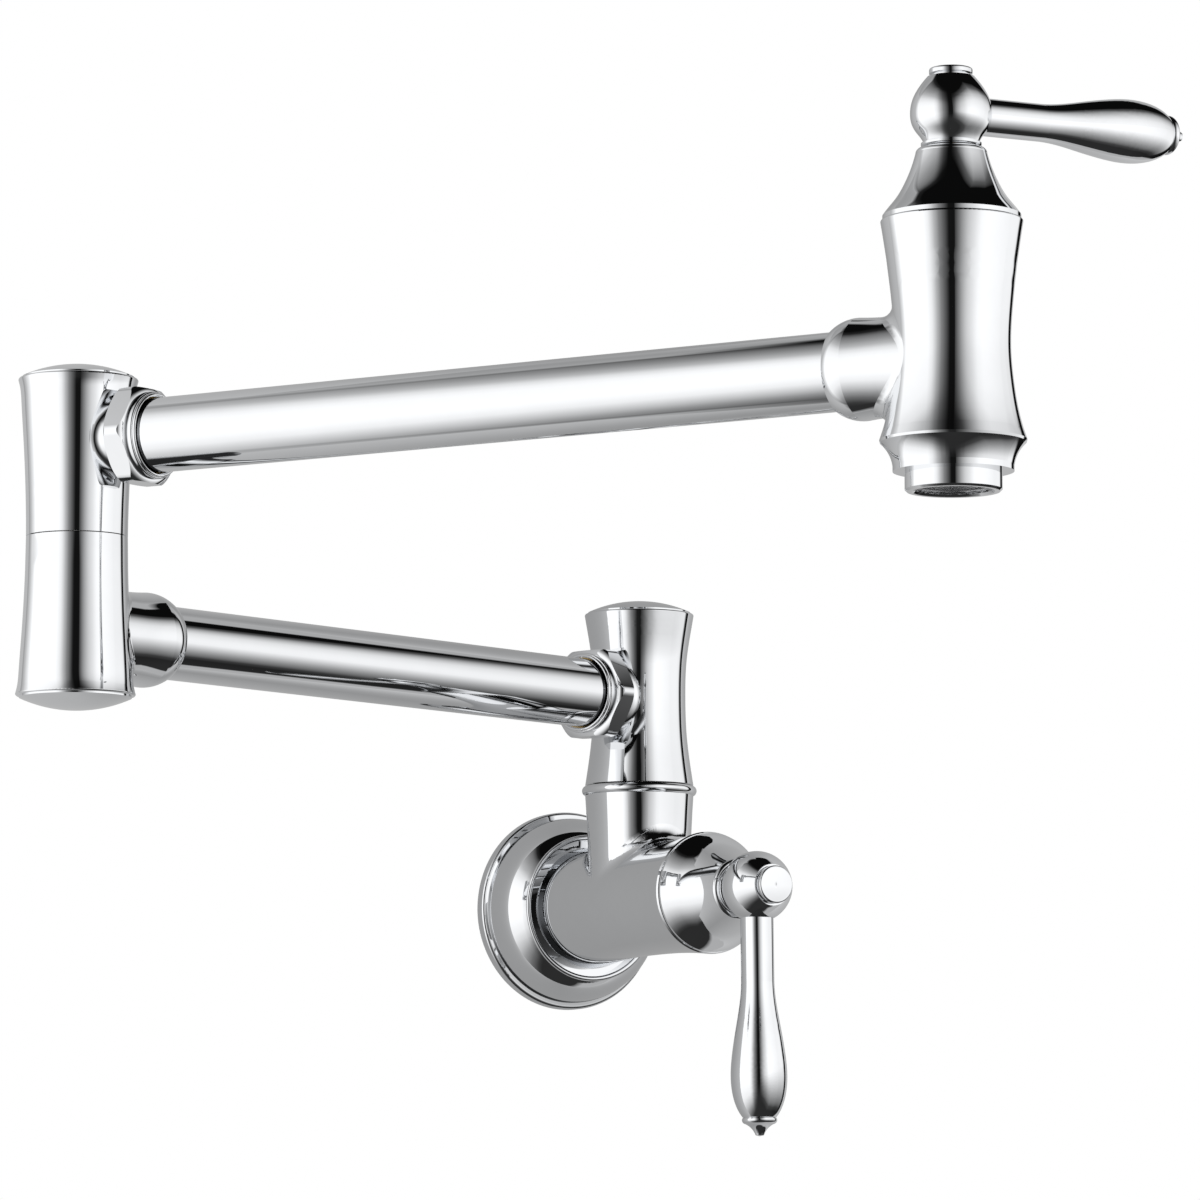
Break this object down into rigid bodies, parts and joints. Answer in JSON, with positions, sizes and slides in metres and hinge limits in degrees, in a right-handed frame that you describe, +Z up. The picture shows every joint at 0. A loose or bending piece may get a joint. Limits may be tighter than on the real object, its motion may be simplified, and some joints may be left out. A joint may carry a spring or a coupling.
{
  "type": "wall mounted pot filler",
  "caption": "Wall mounted pot filler with swinging tubular arms, a domed round wall flange, a bell-mouthed spout and turned ball-and-bulb lever valves at the wall and at the spout.",
  "frame": {"origin": "centre of the threaded inlet's mouth, on the wall plane and on the axis of the wall valve", "axes": "+Y into the wall along the inlet's axis, +Z up, +X to the right as seen from the room; the object stands out on the -Y side"},
  "size_m": [0.2897, 0.4185, 0.281],
  "materials": {
    "chrome": "polished chrome plating over cast and turned brass",
    "brass": "bare turned brass",
    "stainless": "bright stainless spring steel and screws",
    "seal_rubber": "smooth black nitrile rubber",
    "acetal": "natural white acetal",
    "ceramic": "lapped white alumina, glossy"
  },
  "bodies": {
    "wall_unit": {"wall_gasket": "seal_rubber", "wall_flange": "chrome", "wall_valve_body": "chrome", "wall_bearing_ring": "chrome", "wall_spindle": "brass", "wall_spindle_seals": "seal_rubber", "wall_clip": "stainless", "wall_wear_washer": "acetal", "wall_bonnet": "chrome", "wall_cartridge_housing": "brass", "wall_cartridge_seal": "seal_rubber", "wall_fixed_disc": "ceramic"},
    "wall_handle": {"wall_turning_disc": "ceramic", "wall_stem": "brass", "wall_stem_seal": "seal_rubber", "wall_hub": "chrome", "wall_button": "chrome", "wall_handle_screw": "stainless", "wall_lever": "chrome"},
    "lower_arm": {"wall_column": "chrome", "wall_column_cap": "chrome", "lower_union_nut": "chrome", "lower_union_washer": "acetal", "lower_ferrule": "brass", "lower_arm_tube": "chrome", "elbow_lower_half": "chrome", "elbow_lower_cap": "chrome", "elbow_spindle": "brass", "elbow_spindle_seals": "seal_rubber", "elbow_clip": "stainless", "elbow_wear_washer": "acetal"},
    "upper_arm": {"elbow_upper_half": "chrome", "elbow_upper_cap": "chrome", "upper_union_nut": "chrome", "upper_union_washer": "acetal", "upper_ferrule": "brass", "upper_arm_tube": "chrome", "spout_body": "chrome", "aerator_housing": "chrome", "aerator_insert": "acetal", "aerator_washer": "seal_rubber", "spout_bonnet": "chrome", "spout_cartridge_housing": "brass", "spout_cartridge_seal": "seal_rubber", "spout_fixed_disc": "ceramic"},
    "spout_handle": {"spout_turning_disc": "ceramic", "spout_stem": "brass", "spout_stem_seal": "seal_rubber", "spout_hub": "chrome", "spout_button": "chrome", "spout_handle_screw": "stainless", "spout_lever": "chrome"}
  },
  "joints": [
    {"name": "wall_swivel", "type": "hinge", "parent": "wall_unit", "child": "lower_arm", "pos_m": [0, -0.0526, 0.0658], "axis": [0, 0, 1], "range_deg": [-20.8, 159.2]},
    {"name": "elbow_swivel", "type": "hinge", "parent": "lower_arm", "child": "upper_arm", "pos_m": [-0.23941, -0.14354, 0.09381], "axis": [0, 0, 1], "range_deg": [-279, 81]},
    {"name": "wall_lever_turn", "type": "hinge", "parent": "wall_unit", "child": "wall_handle", "pos_m": [0, -0.1286, 0], "axis": [0, -1, 0], "range_deg": [0, 90]},
    {"name": "spout_lever_turn", "type": "hinge", "parent": "upper_arm", "child": "spout_handle", "pos_m": [-0.09345, -0.39841, 0.19022], "axis": [0, 0, 1], "range_deg": [-90, 0]}
  ]
}
